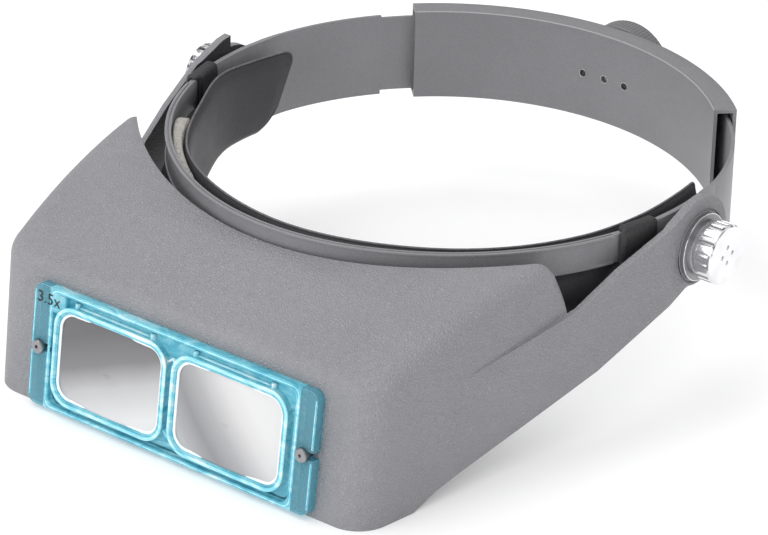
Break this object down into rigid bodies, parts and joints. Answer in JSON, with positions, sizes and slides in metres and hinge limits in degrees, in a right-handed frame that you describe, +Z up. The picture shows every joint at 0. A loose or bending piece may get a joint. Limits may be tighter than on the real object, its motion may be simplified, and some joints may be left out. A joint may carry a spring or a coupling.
{
  "type": "head visor magnifier",
  "caption": "Head-worn visor magnifier with a tilting visor shell, sliding twin-lens plate, chrome thumb knobs, leather sweatband and a rack-and-pinion size knob at the rear.",
  "frame": {"origin": "on the floor under the middle of the object's length, in its plane of symmetry", "axes": "+Z up, the visor faces -Y, the wearer's left is +X"},
  "size_m": [0.2048, 0.2352, 0.0647],
  "materials": {
    "visor": "leather-grained, matte",
    "band": "smooth satin",
    "housing": "smooth satin",
    "knob": "ribbed satin",
    "leather": "grained leatherette",
    "fleece": "fleece",
    "plate": "clear tinted",
    "lens": "polished",
    "chrome": "polished",
    "steel": "brushed",
    "washer": "matt",
    "brass": "machined"
  },
  "bodies": {
    "headband": {"front_headband": "band", "pivot_bolt_left": "steel", "pivot_bolt_right": "steel", "pivot_spacer_left": "washer", "pivot_spacer_right": "washer", "friction_washer_left": "washer", "friction_washer_right": "washer", "wave_washer_left": "chrome", "wave_washer_right": "chrome", "outer_washer_left": "chrome", "outer_washer_right": "chrome", "sweatband": "leather", "sweatband_foam": "fleece", "band_loop_left": "leather", "band_loop_right": "leather"},
    "visor": {"visor_shell": "visor", "screw_insert_left": "brass", "screw_insert_right": "brass"},
    "lens_plate": {"lens_frame": "plate", "lens_left": "lens", "lens_right": "lens"},
    "plate_screw_left": {"plate_screw_left": "steel"},
    "plate_screw_right": {"plate_screw_right": "steel"},
    "thumb_knob_left": {"thumb_knob_left": "chrome"},
    "thumb_knob_right": {"thumb_knob_right": "chrome"},
    "strap_left": {"side_strap_left": "band"},
    "strap_right": {"side_strap_right": "band"},
    "rear_housing": {"housing_outer": "housing", "housing_inner": "housing", "housing_screws": "steel"},
    "size_knob": {"size_knob": "knob", "size_knob_cap": "knob", "pinion_shaft": "steel"}
  },
  "joints": [
    {"name": "visor_tilt", "type": "hinge", "parent": "headband", "child": "visor", "pos_m": [0, 0.02059, 0.0485], "axis": [-1, 0, 0], "range_deg": [-10, 70]},
    {"name": "lens_plate_slide", "type": "slide", "parent": "visor", "child": "lens_plate", "axis": [1, 0, 0], "range_m": [-0.003, 0]},
    {"name": "plate_screw_left_turn", "type": "hinge", "parent": "visor", "child": "plate_screw_left", "pos_m": [0.0505, -0.11151, 0.01969], "axis": [0, -0.9928, 0.1197], "continuous": true},
    {"name": "plate_screw_right_turn", "type": "hinge", "parent": "visor", "child": "plate_screw_right", "pos_m": [-0.0505, -0.11151, 0.01969], "axis": [0, -0.9928, 0.1197], "continuous": true},
    {"name": "thumb_knob_left_turn", "type": "hinge", "parent": "headband", "child": "thumb_knob_left", "pos_m": [0.098, 0.02059, 0.0485], "axis": [1, 0, 0], "continuous": true},
    {"name": "thumb_knob_right_turn", "type": "hinge", "parent": "headband", "child": "thumb_knob_right", "pos_m": [-0.098, 0.02059, 0.0485], "axis": [-1, 0, 0], "continuous": true},
    {"name": "size_knob_turn", "type": "hinge", "parent": "rear_housing", "child": "size_knob", "pos_m": [0, 0.10959, 0.0478], "axis": [0, 1, 0], "range_deg": [-27, 146]},
    {"name": "housing_slide", "type": "slide", "parent": "headband", "child": "rear_housing", "axis": [0, 1, 0], "range_m": [-0.00256, 0.01386]},
    {"name": "strap_left_swing", "type": "hinge", "parent": "headband", "child": "strap_left", "pos_m": [0.08647, 0.03159, 0.0465], "axis": [0, 0, -1], "range_deg": [-1.7, 9.2]},
    {"name": "strap_right_swing", "type": "hinge", "parent": "headband", "child": "strap_right", "pos_m": [-0.08647, 0.03159, 0.0465], "axis": [0, 0, 1], "range_deg": [-1.7, 9.2]}
  ],
  "couplings": [
    {"joint": "size_knob_turn", "follows": "housing_slide", "rad_per_m": 183.72},
    {"joint": "strap_left_swing", "follows": "housing_slide", "rad_per_m": 11.468},
    {"joint": "strap_right_swing", "follows": "housing_slide", "rad_per_m": 11.468}
  ]
}
